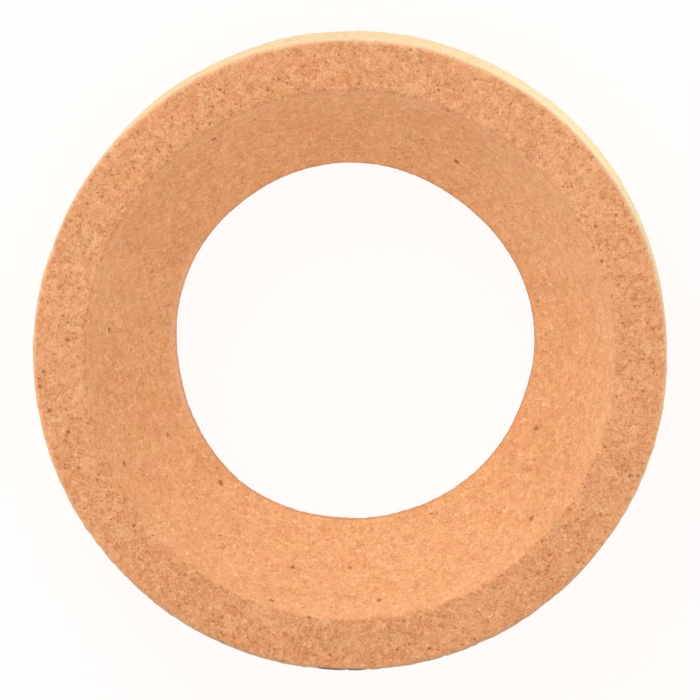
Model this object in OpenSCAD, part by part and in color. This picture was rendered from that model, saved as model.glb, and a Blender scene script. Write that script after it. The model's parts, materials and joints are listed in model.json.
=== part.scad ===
// Cork ring: a bench stand for round-bottomed flasks.
// One piece of agglomerated cork, turned to a flat ring with a hollow seat round its hole.
// The axis is +Z, and the origin is the centre of the flat base.

/* [Ring] */
// Outside diameter
outer_d = 140; // [110:1:200]
// Height from the base to the rim
height = 30; // [20:1:45]
// Diameter of the hole through the base
hole_d = 80; // [60:1:98]

/* [Seat] */
// Width of the flat rim between the outside and the seat
rim_w = 11.5; // [6:0.5:16]
// Height of the straight wall left in the hole below the seat
land_h = 2.5; // [1.5:0.1:5]

/* [Edges] */
// Radius worn on the outer edge of the rim
rim_edge_r = 0.8; // [0.3:0.1:2]
// Radius worn on the ridge where the rim meets the seat
ridge_r = 1; // [0.3:0.1:2]
// Radius worn on the outer edge of the base
base_edge_r = 0.8; // [0.3:0.1:2]
// Radius worn on the lower edge of the hole
hole_edge_r = 0.4; // [0.2:0.1:0.8]

/* [Hidden] */
$fn = 180;

outer_r = outer_d / 2;
hole_r = hole_d / 2;
mouth_r = outer_r - rim_w;

// The seat is part of a ball on the ring's axis. Its surface passes through the
// sharp corner of the rim, at mouth_r, and the top of the hole's wall, at hole_r.
ball_z = (mouth_r ^ 2 - hole_r ^ 2 + height ^ 2 - land_h ^ 2) / (2 * (height - land_h));
ball_r = norm([mouth_r, height - ball_z]);

// How far a cutter stands clear of the surface that it cuts
clear = 1;

// How far the ridge's round dips into the ball's space, so that no sliver is left where they touch
lap = 0.0002;

// What is cut off a right-angled corner at the origin, with its material on the -X -Y side
module corner_waste(r) {
  difference() {
    translate([-r, -r])
      square(r + clear);
    translate([-r, -r])
      circle(r);
  }
}

// What is cut off the ridge to leave a round that is tangent to the rim and to the ball
module ridge_waste(r) {
  reach = ball_r + r - lap;
  z = height - r;
  x = sqrt(reach ^ 2 - (ball_z - z) ^ 2);
  inward = [-x, ball_z - z] / reach;
  difference() {
    polygon([
      [x, z],
      [x, height + clear],
      [mouth_r - 2 * r, height + clear],
      [x, z] + inward * (r + clear)
    ]);
    translate([x, z])
      circle(r);
  }
}

// Half of the ring's section, right of the axis
module section() {
  difference() {
    translate([hole_r, 0])
      square([outer_r - hole_r, height]);
    translate([0, ball_z])
      circle(ball_r);
    ridge_waste(ridge_r);
    translate([outer_r, height])
      corner_waste(rim_edge_r);
    translate([outer_r, 0])
      mirror([0, 1])
        corner_waste(base_edge_r);
    translate([hole_r, 0])
      rotate(180)
        corner_waste(hole_edge_r);
  }
}

module cork_ring() {
  color([0.87, 0.62, 0.42])
    rotate_extrude()
      section();
}

cork_ring();
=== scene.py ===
# %% [markdown]
# # A cork ring for round-bottomed flasks
# The real thing is one block of agglomerated cork: granules of cork, about 1 to 2 mm across, glued and
# pressed together. It is sawn to a flat ring, and a hollow seat, part of a ball, is ground round its hole.
# The measured model is loaded first as a fixed frame. A finely divided ring is then turned on the same
# sizes, roughened with the relief of real granules, and given a cork finish, a pale floor and soft light.

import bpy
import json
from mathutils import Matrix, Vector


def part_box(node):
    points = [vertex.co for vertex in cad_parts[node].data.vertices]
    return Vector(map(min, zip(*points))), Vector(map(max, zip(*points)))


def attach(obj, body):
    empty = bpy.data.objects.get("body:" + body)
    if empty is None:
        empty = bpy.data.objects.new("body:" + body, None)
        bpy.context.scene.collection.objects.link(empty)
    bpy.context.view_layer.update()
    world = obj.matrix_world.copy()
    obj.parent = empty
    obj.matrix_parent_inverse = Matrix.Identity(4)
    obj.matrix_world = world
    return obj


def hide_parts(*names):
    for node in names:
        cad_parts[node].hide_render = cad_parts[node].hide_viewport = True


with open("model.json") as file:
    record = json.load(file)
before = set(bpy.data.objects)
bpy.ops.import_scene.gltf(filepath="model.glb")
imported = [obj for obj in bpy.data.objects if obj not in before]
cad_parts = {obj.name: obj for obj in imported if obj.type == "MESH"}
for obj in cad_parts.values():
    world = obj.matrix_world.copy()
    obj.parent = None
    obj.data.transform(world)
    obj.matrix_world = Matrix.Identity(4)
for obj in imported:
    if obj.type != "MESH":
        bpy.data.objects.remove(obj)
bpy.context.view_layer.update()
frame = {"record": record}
mm = 0.001


# %% [markdown]
# ## Sizes
# The outside, the height and the hole come from the measured model, so the new ring always fits it. The
# rim's width, the short straight wall under the seat and the worn edges are small shapes of their own.
# The seat's ball is worked out from them: it passes through the rim's corner and the top of the wall.

# %% Sizes in metres
import json
import math

import bpy
from mathutils import Matrix, Vector

outer_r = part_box("cork_ring")[1].x
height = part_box("cork_ring")[1].z
hole_mount = [mount for mount in frame["record"]["mounts"] if mount["name"] == "hole"][0]
hole_r = hole_mount["dims"]["r_mm"] * mm
rim_width = 11.5 * mm
land_top = 2.5 * mm
outer_edge_r = 0.8 * mm
ridge_r = 1.0 * mm
hole_edge_r = 0.4 * mm
print(f"outside {2 * outer_r / mm:.1f} mm, hole {2 * hole_r / mm:.1f} mm, height {height / mm:.1f} mm")

# %% The ball of the seat
mouth_r = outer_r - rim_width
ball_z = (mouth_r**2 - hole_r**2 + height**2 - land_top**2) / (2 * (height - land_top))
ball_r = math.hypot(mouth_r, height - ball_z)
print(f"seat: a ball of {ball_r / mm:.2f} mm, its centre {ball_z / mm:.2f} mm above the base")

# %% [markdown]
# ## The camera
# The camera looks almost straight down on the ring from 2.2 m with a long lens, so the far edges stay
# nearly round. It stands a little towards the ring's +Y side, where a thin crescent of the outer wall shows.
# A tracking constraint would turn the picture round, so the three directions are set out one by one.

# %% Place the camera
view_distance = 2.2
view_tilt = math.radians(5.67)
view_side = math.radians(15.5)
lens_mm = 510.5
aim = Vector((-0.35 * mm, -0.1 * mm, height / 2))
away = Vector((
    math.sin(view_tilt) * math.sin(view_side),
    math.sin(view_tilt) * math.cos(view_side),
    math.cos(view_tilt),
))
picture_right = Vector((0, 1, 0)).cross(away).normalized()
picture_up = away.cross(picture_right)

bpy.ops.object.select_all(action="DESELECT")
bpy.ops.object.camera_add()
camera = bpy.context.object
camera.data.lens = lens_mm
camera.matrix_world = Matrix.Translation(aim + away * view_distance) @ (
    Matrix((picture_right, picture_up, away)).transposed().to_4x4()
)
bpy.context.scene.camera = camera
print("camera at, mm:", [round(side / mm) for side in camera.matrix_world.translation])

# %% [markdown]
# ## Turning the ring
# A ring could be a cylinder with a ball cut out of it by a boolean, but that leaves long thin faces. Here
# the section is drawn as a line, one stretch after another, and then spun round the axis, as a lathe
# works. The faces come out small and even, and that is what fine relief needs later. Only the base,
# which is hardly seen, has larger ones.

# %% Start the outline at one point
bpy.ops.object.select_all(action="DESELECT")
bpy.ops.mesh.primitive_plane_add(size=mm)
ring = bpy.context.object
ring.name = "cork_ring_granular"
bpy.ops.object.mode_set(mode="EDIT")
bpy.ops.mesh.merge(type="CENTER")
bpy.ops.transform.translate(value=(hole_r, 0, hole_edge_r))
print(f"the outline starts {hole_r / mm:.1f} mm out and {hole_edge_r / mm:.1f} mm up")


# %% Two ways to draw a stretch
def draw_straight(across, up, cell):
    """Draws a straight stretch from the end of the line, in steps of about one cell."""
    steps = max(1, round(math.hypot(across, up) / cell))
    for _ in range(steps):
        bpy.ops.mesh.extrude_vertices_move(
            TRANSFORM_OT_translate={"value": (across / steps, 0, up / steps)}
        )
    return steps


def draw_round(centre_x, centre_z, radius, turn, cell):
    """Draws an arc from the end of the line; a turn above 0 is anticlockwise, with +X to the right."""
    steps = max(2, round(abs(turn) * radius / cell))
    bpy.ops.mesh.spin(steps=steps, angle=turn, center=(centre_x, 0, centre_z), axis=(0, 1, 0))
    return steps


# %% Where the arcs start and end
quarter = math.radians(90)
reach = ball_r + ridge_r
ridge_z = height - ridge_r
ridge_x = math.sqrt(reach**2 - (ball_z - ridge_z) ** 2)
seat_start = math.atan2(land_top - ball_z, hole_r)
seat_end = math.atan2(ridge_z - ball_z, ridge_x)
ridge_start = math.pi + seat_end
edge_in = outer_r - outer_edge_r
print(f"the flat of the rim is {(edge_in - ridge_x) / mm:.2f} mm wide")

# %% Draw the wall of the hole, the seat and the ridge
fine_cell = 0.6 * mm
edge_cell = fine_cell / 2
cells = draw_straight(0, land_top - hole_edge_r, fine_cell)
cells += draw_round(0, ball_z, ball_r, seat_end - seat_start, fine_cell)
cells += draw_round(ridge_x, ridge_z, ridge_r, quarter - ridge_start, edge_cell)
print("cells up to the rim:", cells)

# %% Draw the rim, the outside and the base
rim_cell = 0.5 * mm
wall_cell = 0.75 * mm
base_cell = 1.5 * mm
cells += draw_straight(edge_in - ridge_x, 0, rim_cell)
cells += draw_round(edge_in, height - outer_edge_r, outer_edge_r, -quarter, edge_cell)
cells += draw_straight(0, 2 * outer_edge_r - height, wall_cell)
cells += draw_round(edge_in, outer_edge_r, outer_edge_r, -quarter, edge_cell)
cells += draw_straight(hole_r + hole_edge_r - edge_in, 0, base_cell)
cells += draw_round(hole_r + hole_edge_r, hole_edge_r, hole_edge_r, -quarter, edge_cell)
print("cells along the outline:", cells)

# %% Turn the outline round the axis
slices = 640
weld = 0.01 * mm
bpy.ops.mesh.select_all(action="SELECT")
bpy.ops.mesh.remove_doubles(threshold=weld)
bpy.ops.object.mode_set(mode="OBJECT")
lathe = ring.modifiers.new("Lathe", "SCREW")
lathe.axis = "Z"
lathe.steps = slices
lathe.render_steps = slices
lathe.use_merge_vertices = True
lathe.merge_threshold = weld
bpy.ops.object.modifier_apply(modifier=lathe.name)
print("faces:", len(ring.data.polygons))

# %% Turn its faces outwards, and say what it is
bpy.ops.object.mode_set(mode="EDIT")
bpy.ops.mesh.select_all(action="SELECT")
bpy.ops.mesh.normals_make_consistent(inside=False)
bpy.ops.object.mode_set(mode="OBJECT")
bpy.ops.object.shade_smooth()
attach(ring, "root")
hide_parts("cork_ring")
print(ring.name, "rides on the root and replaces the measured ring")

# %% [markdown]
# ## Marking the surfaces
# The seat of the real ring is ground smooth, while its sawn faces are coarse, and its corners are a
# little crumbled. Both the relief and the finish need to know where they are. Vertex paint would do
# that by hand; here each vertex gets four numbers from its own place, so the marks fit to a fraction
# of a millimetre: how far it is ground, how near it is to a corner, how much painted shade it gets,
# and how much painted highlight.

# %% Helpers for soft borders
def smooth_step(low, high, value):
    """Rises smoothly from 0 at low to 1 at high."""
    share = min(1, max(0, (value - low) / (high - low)))
    return share * share * (3 - 2 * share)


def near(full, none, distance):
    """1 out to the full distance, then smoothly down to 0 at the other."""
    return 1 - smooth_step(full, none, distance)


# %% How far a place is ground: full is as far as a mark is whole, and none is where it ends
seat_full = 0.1 * mm
seat_none = 0.4 * mm
ridge_fade = 1.2 * mm
lip_fade = 0.6 * mm


def ground_at(across, z):
    """1 on the seat and 0 elsewhere, with soft borders at the ridge and at the lip of the hole."""
    off_ball = abs(math.hypot(across, z - ball_z) - ball_r)
    below_ridge = smooth_step(0, ridge_fade, height - z)
    above_lip = smooth_step(-lip_fade, lip_fade, z - land_top)
    return near(seat_full, seat_none, off_ball) * below_ridge * above_lip


# %% How near a place is to a corner, from each corner's radius, its height and how far it crumbles
corners = [
    (outer_r, height, 1.6 * mm),
    (outer_r, 0, 1.6 * mm),
    (mouth_r, height, 1.0 * mm),
    (hole_r, 0, 0.8 * mm),
]


def corner_at(across, z):
    """1 at the nearest corner, and 0 beyond its crumbled band."""
    return max(
        near(0, band, math.hypot(across - corner_r, z - corner_z)) for corner_r, corner_z, band in corners
    )


# %% How much painted shade a place gets
# Painted shade, not dirt: a dark line round the lip, the outer edge towards -Y, and a painted contact shadow
# there.
lip_painted_shade = 0.5
lip_painted_shade_band = 0.7 * mm
front_edge_painted_shade = 0.5
painted_contact_shadow = Vector((-2 * mm, -outer_r))
contact_shadow_full = 4 * mm
contact_shadow_none = 8 * mm


def painted_shade_at(spot, from_lip, on_edge, front):
    """Painted shade: a dark line round the lip, and on the outer edge towards -Y, darkest at one painted
    contact shadow.
    """
    at_contact_shadow = near(contact_shadow_full, contact_shadow_none, (spot.xy - painted_contact_shadow).length)
    return max(lip_painted_shade * near(0, lip_painted_shade_band, from_lip), on_edge * max(front_edge_painted_shade * front, at_contact_shadow))


# %% How much painted highlight a place gets
# Painted highlight, not wear: the lip's -X side and the outer edge are painted paler, as if catching light.
lip_highlight_full = 0.9 * mm
lip_highlight_none = 2.2 * mm


def painted_highlight_at(spot, across, from_lip, on_edge, front):
    """Painted highlight: a pale strip on the lip's -X side, and a pale outer edge except towards -Y."""
    left = smooth_step(0.8, 0.97, -spot.x / across)
    return max(near(lip_highlight_full, lip_highlight_none, from_lip) * left, on_edge * (1 - front))


# %% Write four marks on every vertex
edge_full = 0.3 * mm
edge_none = 1.1 * mm
mark_names = ("ground", "corner", "painted_shade", "painted_highlight")
for name in mark_names:
    ring.data.attributes.new(name, "FLOAT", "POINT")
ground, corner, painted_shade, painted_highlight = [ring.data.attributes[name].data for name in mark_names]
for vertex in ring.data.vertices:
    spot = vertex.co
    across = math.hypot(spot.x, spot.y)
    from_lip = math.hypot(across - hole_r, spot.z - land_top)
    on_edge = near(edge_full, edge_none, math.hypot(across - outer_r, spot.z - height))
    front = smooth_step(0.2, 1.0, -spot.y / across)
    ground[vertex.index].value = ground_at(across, spot.z)
    corner[vertex.index].value = corner_at(across, spot.z)
    # The third mark is painted shade and the fourth a painted highlight.
    painted_shade[vertex.index].value = painted_shade_at(spot, from_lip, on_edge, front)
    painted_highlight[vertex.index].value = painted_highlight_at(spot, across, from_lip, on_edge, front)
for name, mark in zip(mark_names, (ground, corner, painted_shade, painted_highlight)):
    print(f"{name}: {sum(point.value for point in mark) / len(mark):.3f} on average")

# %% [markdown]
# ## Not quite round
# A real ring is softer and less exact than its drawing: its hole has gone a little out of round, and one
# small nick is gone from the rim. Moving a few points with proportional editing does for the nick. Round
# the hole it would leave lumps, so there a modifier adds whole waves, which stay smooth: one sets the hole
# off the centre, three make it a little three-cornered, and five make it slightly uneven.

# %% Nick the rim
nick_angle = math.radians(161)
nick_core = 1.0 * mm
nick_reach = 2 * mm
nick_depth = 0.35 * mm
nick_from = Vector((math.cos(nick_angle), math.sin(nick_angle), 0))
nick_spot = nick_from * outer_r + Vector((0, 0, height))
bpy.ops.object.mode_set(mode="EDIT")
bpy.ops.mesh.select_mode(type="VERT")
bpy.ops.mesh.select_all(action="DESELECT")
bpy.ops.object.mode_set(mode="OBJECT")
for vertex in ring.data.vertices:
    vertex.select = (vertex.co - nick_spot).length < nick_core
print("points in the nick:", sum(vertex.select for vertex in ring.data.vertices))
bpy.ops.object.mode_set(mode="EDIT")
bpy.ops.transform.translate(
    value=nick_from * -nick_depth, use_proportional_edit=True, proportional_edit_falloff="SMOOTH",
    proportional_size=nick_reach,
)
bpy.ops.mesh.select_all(action="DESELECT")
bpy.ops.object.mode_set(mode="OBJECT")


# %% Helpers that add nodes and join their inputs
def add_node(tree, kind, inputs, **settings):
    """Adds a node, sets its options, and links or sets each input."""
    node = tree.nodes.new(kind)
    for name, value in settings.items():
        setattr(node, name, value)
    for key, value in inputs.items():
        if isinstance(value, bpy.types.NodeSocket):
            tree.links.new(value, node.inputs[key])
        else:
            node.inputs[key].default_value = value
    return node


def maths(tree, operation, *values):
    """A number worked out from one to three others."""
    inputs = dict(enumerate(values))
    return add_node(tree, "ShaderNodeMath", inputs, operation=operation).outputs[0]


def vector_maths(tree, operation, *values):
    """A vector worked out from others, or a number where the operation measures a length."""
    inputs = dict(enumerate(values))
    outputs = add_node(tree, "ShaderNodeVectorMath", inputs, operation=operation).outputs
    return outputs["Value"] if operation in ("LENGTH", "DISTANCE") else outputs["Vector"]


def scaled(tree, vector, amount):
    """A vector times a number."""
    inputs = {0: vector, "Scale": amount}
    return add_node(tree, "ShaderNodeVectorMath", inputs, operation="SCALE").outputs[0]


def flattened(tree, sides):
    """A place without its height."""
    return add_node(tree, "ShaderNodeCombineXYZ", {0: sides[0], 1: sides[1]}).outputs[0]


def ramp(tree, value, low, high, start=0, end=1):
    """Goes smoothly from start, at low, to end, at high."""
    inputs = {"Value": value, "From Min": low, "From Max": high, "To Min": start, "To Max": end}
    kind = "ShaderNodeMapRange"
    return add_node(tree, kind, inputs, interpolation_type="SMOOTHSTEP").outputs["Result"]


# %% Helpers that begin and apply a modifier made of nodes
def begin_group(name):
    """An empty group of geometry nodes that takes a mesh in and gives one out."""
    group = bpy.data.node_groups.new(name, "GeometryNodeTree")
    for side in ("INPUT", "OUTPUT"):
        group.interface.new_socket("Geometry", in_out=side, socket_type="NodeSocketGeometry")
    return group


def apply_group(group, offset):
    """Moves each point of the ring by its offset, as a modifier that is applied at once."""
    start = group.nodes.new("NodeGroupInput")
    moved = add_node(group, "GeometryNodeSetPosition", {"Geometry": start.outputs[0], "Offset": offset})
    add_node(group, "NodeGroupOutput", {0: moved.outputs[0]})
    modifier = ring.modifiers.new(group.name, "NODES")
    modifier.node_group = group
    bpy.context.view_layer.objects.active = ring
    bpy.ops.object.modifier_apply(modifier=modifier.name)


# %% Waves round the hole: how many, how high in millimetres, and a crest's angle in degrees
hole_waves = [(1, 0.6, 75), (3, 0.3, 0), (5, 0.2, 15)]
hole_wider = -0.25
rounding = begin_group("hole_out_of_round")
position = rounding.nodes.new("GeometryNodeInputPosition").outputs[0]
sides = add_node(rounding, "ShaderNodeSeparateXYZ", {0: position}).outputs
angle = maths(rounding, "ARCTAN2", sides[1], sides[0])
push = hole_wider
for count, wave_height, crest in hole_waves:
    turned = maths(rounding, "MULTIPLY_ADD", angle, count, -count * math.radians(crest))
    push = maths(rounding, "MULTIPLY_ADD", maths(rounding, "COSINE", turned), wave_height, push)
print("waves round the hole:", len(hole_waves))

# %% Push the wall of the hole, and the seat less and less up to the rim
waves_full = hole_r + mm
outwards = flattened(rounding, sides)
from_axis = vector_maths(rounding, "LENGTH", outwards)
fade = ramp(rounding, from_axis, waves_full, mouth_r, 1, 0)
push_size = maths(rounding, "MULTIPLY", maths(rounding, "MULTIPLY", push, fade), mm)
apply_group(rounding, scaled(rounding, vector_maths(rounding, "NORMALIZE", outwards), push_size))
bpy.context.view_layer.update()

# %% [markdown]
# ## The pattern of the granules
# Pressed granules fill space like soap bubbles, and a Voronoi texture makes just such cells. The same
# pattern has to raise the relief and to colour the finish, so one recipe builds it in either node tree.
# Everything in it is in millimetres. A little noise bends the cells, so that no border is straight.

# %% Helpers for noise
def noise(tree, place, scale, detail=1, roughness=0.5):
    """Noise with that many features to a millimetre: a number and a colour come out."""
    inputs = {"Vector": place, "Scale": scale, "Detail": detail, "Roughness": roughness}
    return add_node(tree, "ShaderNodeTexNoise", inputs).outputs


def bent(tree, place, size, amount):
    """Moves each point a little, by noise whose features are about size millimetres across."""
    centred = vector_maths(tree, "ADD", noise(tree, place, 1 / size)["Color"], (-0.5, -0.5, -0.5))
    return vector_maths(tree, "MULTIPLY_ADD", centred, (amount, amount, amount), place)


# %% Helpers for cells
def grain_cells(tree, place, size):
    """Voronoi cells of about that size: the distance from the middle, and three random numbers each."""
    cell = add_node(tree, "ShaderNodeTexVoronoi", {"Vector": place, "Scale": 1 / size})
    numbers = add_node(tree, "ShaderNodeSeparateXYZ", {0: cell.outputs["Color"]})
    return cell.outputs["Distance"], numbers.outputs


def grain_borders(tree, place, size, width):
    """1 on the borders of the same cells, down to 0 at the width, which is a share of the size."""
    inputs = {"Vector": place, "Scale": 1 / size}
    border = add_node(tree, "ShaderNodeTexVoronoi", inputs, feature="DISTANCE_TO_EDGE")
    return ramp(tree, border.outputs["Distance"], 0, width, 1, 0)


no_spot = 0.0001
solid_middle = 0.6


def specks(tree, place, spacing, largest, share):
    """Small spots: 1 inside and 0 outside. Only that share of the cells has one."""
    distance, numbers = grain_cells(tree, place, spacing)
    radius = ramp(tree, numbers[1], 1 - share, 1, no_spot, largest / spacing)
    return ramp(tree, distance, radius, maths(tree, "MULTIPLY", radius, solid_middle))


# %% The recipe for pressed cork
coarse_size = 1.7
fine_size = 0.85


def pressed_cork(tree, place):
    """The tone, the seams and the pits at a place in millimetres, each as a socket by its name."""
    bent_place = bent(tree, bent(tree, place, size=1.8, amount=0.9), size=0.5, amount=0.5)
    coarse = grain_cells(tree, bent_place, coarse_size)[1]
    fine = grain_cells(tree, bent_place, fine_size)[1]
    is_fine = ramp(tree, coarse[2], 0.45, 0.55)
    tone = add_node(tree, "ShaderNodeMix", {"Factor": is_fine, "A": coarse[0], "B": fine[0]}).outputs[0]
    coarse_seam = grain_borders(tree, bent_place, coarse_size, width=0.07)
    fine_seam = grain_borders(tree, bent_place, fine_size, width=0.12)
    seam = maths(tree, "MAXIMUM", coarse_seam, maths(tree, "MULTIPLY", fine_seam, is_fine))
    small_pits = specks(tree, bent_place, spacing=1.25, largest=0.42, share=0.5)
    large_pits = specks(tree, bent_place, spacing=3.4, largest=0.62, share=0.35)
    return {"tone": tone, "seam": seam, "pit": maths(tree, "MAXIMUM", small_pits, large_pits)}


def by_surface(tree, ground_share, on_sawn, on_ground):
    """Goes from one number on sawn cork to another on ground cork."""
    return ramp(tree, ground_share, 0, 1, on_sawn, on_ground)


# %% [markdown]
# ## Relief
# A Displace modifier could push the surface by a texture, but its textures aren't the ones that a
# material has. A geometry nodes modifier has the same Voronoi and noise, so a pit that is dark in the
# finish is also a hole in the mesh. It only ever pushes inwards, so the ring keeps its outside sizes.

# %% Read the place and two of the marks
to_mm = 1 / mm
relief = begin_group("cork_relief")
position = relief.nodes.new("GeometryNodeInputPosition").outputs[0]
normal = relief.nodes.new("GeometryNodeInputNormal").outputs[0]
place = scaled(relief, position, to_mm)
cork = pressed_cork(relief, place)
ground_share, corner_share = [
    add_node(relief, "GeometryNodeInputNamedAttribute", {"Name": name}, data_type="FLOAT").outputs[0]
    for name in ("ground", "corner")
]
print("nodes in the relief's pattern:", len(relief.nodes))

# %% How deep the granules, seams and pits go, in millimetres
granule_relief = 0.10
seam_relief = 0.10
left_by_grinding = 0.12
granule_depth = maths(relief, "MULTIPLY", maths(relief, "SUBTRACT", 1, cork["tone"]), granule_relief)
seam_depth = maths(relief, "MULTIPLY", cork["seam"], seam_relief)
rough_depth = maths(relief, "ADD", granule_depth, seam_depth)
share_left = by_surface(relief, ground_share, on_sawn=1, on_ground=left_by_grinding)
rough_depth = maths(relief, "MULTIPLY", rough_depth, share_left)
pit_relief = by_surface(relief, ground_share, on_sawn=0.35, on_ground=0.10)
pit_depth = maths(relief, "MULTIPLY", cork["pit"], pit_relief)
depth = maths(relief, "ADD", rough_depth, pit_depth)
print("granules and seams, mm:", granule_relief + seam_relief)

# %% How deep the crumbled corners and the slow unevenness go, in millimetres
crumb_relief = 0.4
uneven_relief = 0.15
crumb = ramp(relief, noise(relief, place, scale=0.45, detail=3)[0], 0.52, 0.72)
crumb_depth = maths(relief, "MULTIPLY", maths(relief, "MULTIPLY", crumb, corner_share), crumb_relief)
uneven_depth = ramp(relief, noise(relief, place, scale=0.05)[0], 0.4, 0.6, 0, uneven_relief)
depth = maths(relief, "ADD", depth, crumb_depth)
depth = maths(relief, "ADD", depth, uneven_depth)
print("crumbled corners, mm:", crumb_relief)

# %% Push the surface inwards and apply the modifier
apply_group(relief, scaled(relief, normal, maths(relief, "MULTIPLY", depth, -mm)))
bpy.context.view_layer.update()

# %% [markdown]
# ## The cork finish
# Each granule has its own tone, from straw to chestnut, with thin dark seams of glue and bark between
# them. Pits and flecks of bark are dark brown. The ground seat is the same cork, a little paler and with
# less contrast, and painted paler still towards the ridge as painted light. The lip all round and the
# outer edge towards -Y get painted shade, and the sawn cork is a little darker towards -Y as painted
# shade too. The lip's -X side and the rest of the outer edge get a painted highlight.
# The coarse outer wall looks brighter where it is seen at a slant, and a sheen stands for that.

# %% Helpers for the finish
material = bpy.data.materials.new("pressed_cork")
material.use_nodes = True
finish = material.node_tree
shader = finish.nodes["Principled BSDF"]


def read_mark(name):
    """One of the marks on the surface."""
    return add_node(finish, "ShaderNodeAttribute", {}, attribute_name=name).outputs["Fac"]


def mixed(share, first, second):
    """A colour that goes from the first to the second as the share goes from 0 to 1."""
    inputs = {"Factor": share, 6: first, 7: second}
    return add_node(finish, "ShaderNodeMix", inputs, data_type="RGBA").outputs[2]


def set_inputs(node, values):
    """Sets a node's inputs by name."""
    for name, value in values.items():
        node.inputs[name].default_value = value


# %% The place, the pattern and three kinds of noise
place = scaled(finish, finish.nodes.new("ShaderNodeTexCoord").outputs["Object"], to_mm)
sides = add_node(finish, "ShaderNodeSeparateXYZ", {0: place}).outputs
flat = flattened(finish, sides)
ground_share = read_mark("ground")
cork = pressed_cork(finish, place)
grain = noise(finish, place, scale=1.9, detail=2.5, roughness=0.8)[0]
mottle = noise(finish, place, scale=0.6, detail=2, roughness=0.6)[0]
drift = noise(finish, place, scale=0.12)[0]
print("nodes in the finish's pattern:", len(finish.nodes))

# %% Tone of the sawn and the ground cork, from 0, dark, to 1, pale
outer_mm = outer_r * to_mm
top_mm = height * to_mm
granule_contrast = 0.27
grain_contrast = 1.7
mottle_contrast = 0.15
darkest_tone = -0.535
ground_contrast = 0.8
tone_sawn = maths(finish, "MULTIPLY_ADD", cork["tone"], granule_contrast, darkest_tone)
tone_sawn = maths(finish, "MULTIPLY_ADD", grain, grain_contrast, tone_sawn)
tone_sawn = maths(finish, "MULTIPLY_ADD", mottle, mottle_contrast, tone_sawn)
# The ground cork is paler; the extra lift towards the ridge is painted light, for the steep slope there that
# gets less light.
paler_seat = 0.1
ridge_paler_with_painted_light = 0.15
paler = ramp(finish, sides[2], top_mm - 10, top_mm - 1, paler_seat, ridge_paler_with_painted_light)
tone_ground = maths(finish, "MULTIPLY_ADD", tone_sawn, ground_contrast, paler)
# Painted shade: the sawn cork is a little darker towards -Y.
front_painted_shade = -0.07
front_ends = -30
painted_front_shade = ramp(finish, sides[1], -outer_mm, front_ends, front_painted_shade, 0)
tone_sawn = maths(finish, "ADD", tone_sawn, painted_front_shade)
tone = add_node(
    finish, "ShaderNodeMix", {"Factor": ground_share, "A": tone_sawn, "B": tone_ground}
).outputs[0]
print("the ring in millimetres, for the tone:", round(outer_mm, 2), round(top_mm, 2))

# %% A slow drift, and pale flecks
drift_contrast = 0.2
tone = maths(finish, "ADD", tone, maths(finish, "MULTIPLY_ADD", drift, drift_contrast, -drift_contrast / 2))
pale_flecks = ramp(finish, mottle, 0.58, 0.64)
pale_flecks = maths(finish, "MULTIPLY", pale_flecks, ramp(finish, grain, 0.5, 0.56))
fleck_lift = by_surface(finish, ground_share, on_sawn=0.35, on_ground=0.3)
tone = maths(finish, "MULTIPLY_ADD", pale_flecks, fleck_lift, tone)
print("the drift moves the tone by up to", drift_contrast / 2)

# %% Wide soft patches, each with its place and radius in millimetres and how much paler it is
tone_patches = [(40, 30, 30, 0.12), (-50, 10, 20, 0.10), (40, -25, 20, -0.08)]
for patch_x, patch_y, patch_r, lift in tone_patches:
    off_patch = vector_maths(finish, "DISTANCE", flat, (patch_x, patch_y, 0))
    tone = maths(finish, "ADD", tone, ramp(finish, off_patch, 0, patch_r, lift, 0))
print("soft patches:", len(tone_patches))

# %% Turn the tone into a colour
chestnut = (0.539, 0.182, 0.056, 1)
tan = (0.751, 0.332, 0.147, 1)
straw = (0.905, 0.474, 0.254, 1)
tints = add_node(finish, "ShaderNodeValToRGB", {0: tone})
tints.color_ramp.elements[0].color = chestnut
tints.color_ramp.elements[1].color = straw
tints.color_ramp.elements.new(0.5).color = tan
print("tints:", [round(stop.position, 2) for stop in tints.color_ramp.elements])

# %% Seams and pits
seam_patches = ramp(finish, mottle, 0.50, 0.42)
seam_most = by_surface(finish, ground_share, on_sawn=0.38, on_ground=0.2)
seam_share = maths(finish, "MULTIPLY", cork["seam"], maths(finish, "MULTIPLY", seam_patches, seam_most))
pores = ramp(finish, grain, 0.40, 0.34)
pores = maths(finish, "MULTIPLY", pores, ramp(finish, mottle, 0.52, 0.46))
pores = maths(finish, "MAXIMUM", pores, cork["pit"])
pit_most = by_surface(finish, ground_share, on_sawn=0.68, on_ground=0.40)
dark_share = maths(finish, "MAXIMUM", seam_share, maths(finish, "MULTIPLY", pores, pit_most))
print("nodes with seams and pits:", len(finish.nodes))

# %% The largest flecks of bark
bark_brown = (0.33, 0.11, 0.032, 1)
bark_most = 0.85
ragged = bent(finish, place, size=0.6, amount=1.1)
bark = specks(finish, ragged, spacing=6, largest=0.9, share=0.7)
dark_share = maths(finish, "MAXIMUM", dark_share, maths(finish, "MULTIPLY", bark, bark_most))
colour = mixed(dark_share, tints.outputs[0], bark_brown)
print("bark:", bark_brown[:3])

# %% A slow change of hue, and the paler tint of ground cork
hue_least = (0.935, 0.925, 0.925)
hue_range = (0.13, 0.15, 0.15)
untinted = (1, 1, 1, 1)
ground_tint = (1.067, 1.155, 1.163, 1)
hue_noise = noise(finish, place, scale=0.28)["Color"]
hue = vector_maths(finish, "MULTIPLY_ADD", hue_noise, hue_range, hue_least)
colour = vector_maths(finish, "MULTIPLY", colour, hue)
colour = vector_maths(finish, "MULTIPLY", colour, mixed(ground_share, untinted, ground_tint))
print("the seat's tint:", ground_tint[:3])

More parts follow.
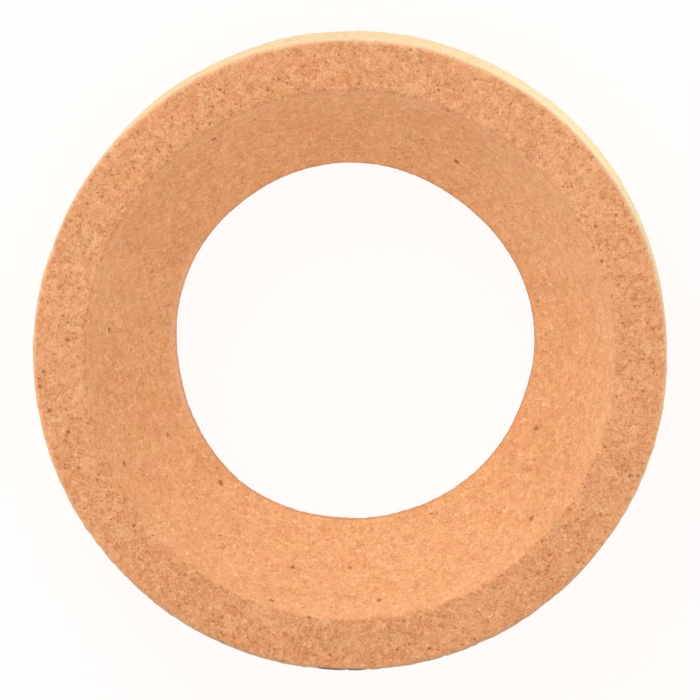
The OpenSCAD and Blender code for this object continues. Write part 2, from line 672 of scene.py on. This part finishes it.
# %% The painted highlight and the painted shade on the edges
# A pale colour painted on as a highlight.
painted_highlight_colour = (0.95, 0.59, 0.37, 1)
painted_highlight_most = 0.4
# The colours of the painted shade, from grey-brown to near black.
pale_painted_shade = (0.30, 0.26, 0.21, 1)
deep_painted_shade = (0.05, 0.035, 0.03, 1)
painted_shade_most = 0.9
colour = mixed(maths(finish, "MULTIPLY", read_mark("painted_highlight"), painted_highlight_most), colour, painted_highlight_colour)
painted_shade_share = read_mark("painted_shade")
painted_shade_colour = mixed(ramp(finish, painted_shade_share, 0.5, 0.8), pale_painted_shade, deep_painted_shade)
colour = mixed(maths(finish, "MULTIPLY", painted_shade_share, painted_shade_most), colour, painted_shade_colour)
finish.links.new(colour, shader.inputs["Base Color"])
print("most rubbed and most soiled:", painted_highlight_most, painted_shade_most)

# %% Bump
bump_height = 0.10
bump_inputs = {"Height": maths(finish, "MULTIPLY", grain, bump_height), "Distance": mm, "Strength": 0.8}
bump = add_node(finish, "ShaderNodeBump", bump_inputs)
finish.links.new(bump.outputs[0], shader.inputs["Normal"])
print("bump height, mm:", bump_height)

# %% Roughness, and a sheen that is strong on the outer wall only
sheen_inside = 0.1
sheen_on_wall = 1.0
from_axis = vector_maths(finish, "LENGTH", flat)
sheen_from = outer_mm - 1.1
sheen_full = outer_mm - 0.5
sheen = ramp(finish, from_axis, sheen_from, sheen_full, sheen_inside, sheen_on_wall)
finish.links.new(sheen, shader.inputs["Sheen Weight"])
set_inputs(shader, {
    "Roughness": 0.85,
    "Specular IOR Level": 0.2,
    "Sheen Roughness": 0.55,
    "Sheen Tint": (1.0, 0.96, 0.60, 1),
})
ring.data.materials.clear()
ring.data.materials.append(material)
print("finish on the ring:", material.name, "with", len(finish.nodes), "nodes")

# %% [markdown]
# ## Floor and light
# The floor is plain and almost white. A bright world gives light from all round, and one large soft lamp
# stands beyond the +Y side, a little to the left, so the far slope of the seat is the brightest.

# %% The floor
floor_size = 20
bpy.ops.object.select_all(action="DESELECT")
bpy.ops.mesh.primitive_plane_add(size=floor_size)
floor = bpy.context.object
floor.name = "floor"
paper = bpy.data.materials.new("white_floor")
paper.use_nodes = True
set_inputs(paper.node_tree.nodes["Principled BSDF"], {
    "Base Color": (0.10, 0.095, 0.093, 1),
    "Roughness": 0.9,
    "Specular IOR Level": 0.0,
    "Emission Color": (1, 0.955, 0.945, 1),
    "Emission Strength": 0.93,
})
floor.data.materials.append(paper)
print("floor, m:", floor_size)

# %% World and lamp
world = bpy.data.worlds.new("studio")
bpy.context.scene.world = world
world.use_nodes = True
set_inputs(world.node_tree.nodes["Background"], {"Color": (1, 1, 1, 1), "Strength": 0.9})
lamp_from = Vector((-0.40, 0.93, 0.65))
bpy.ops.object.light_add(type="AREA", location=lamp_from)
lamp = bpy.context.object
lamp.data.size = 0.6
lamp.data.energy = 4.75
lamp.rotation_euler = lamp_from.to_track_quat("Z", "Y").to_euler()
bpy.context.scene.view_settings.view_transform = "Standard"
print("lamp at, m:", [round(side, 2) for side in lamp.location])
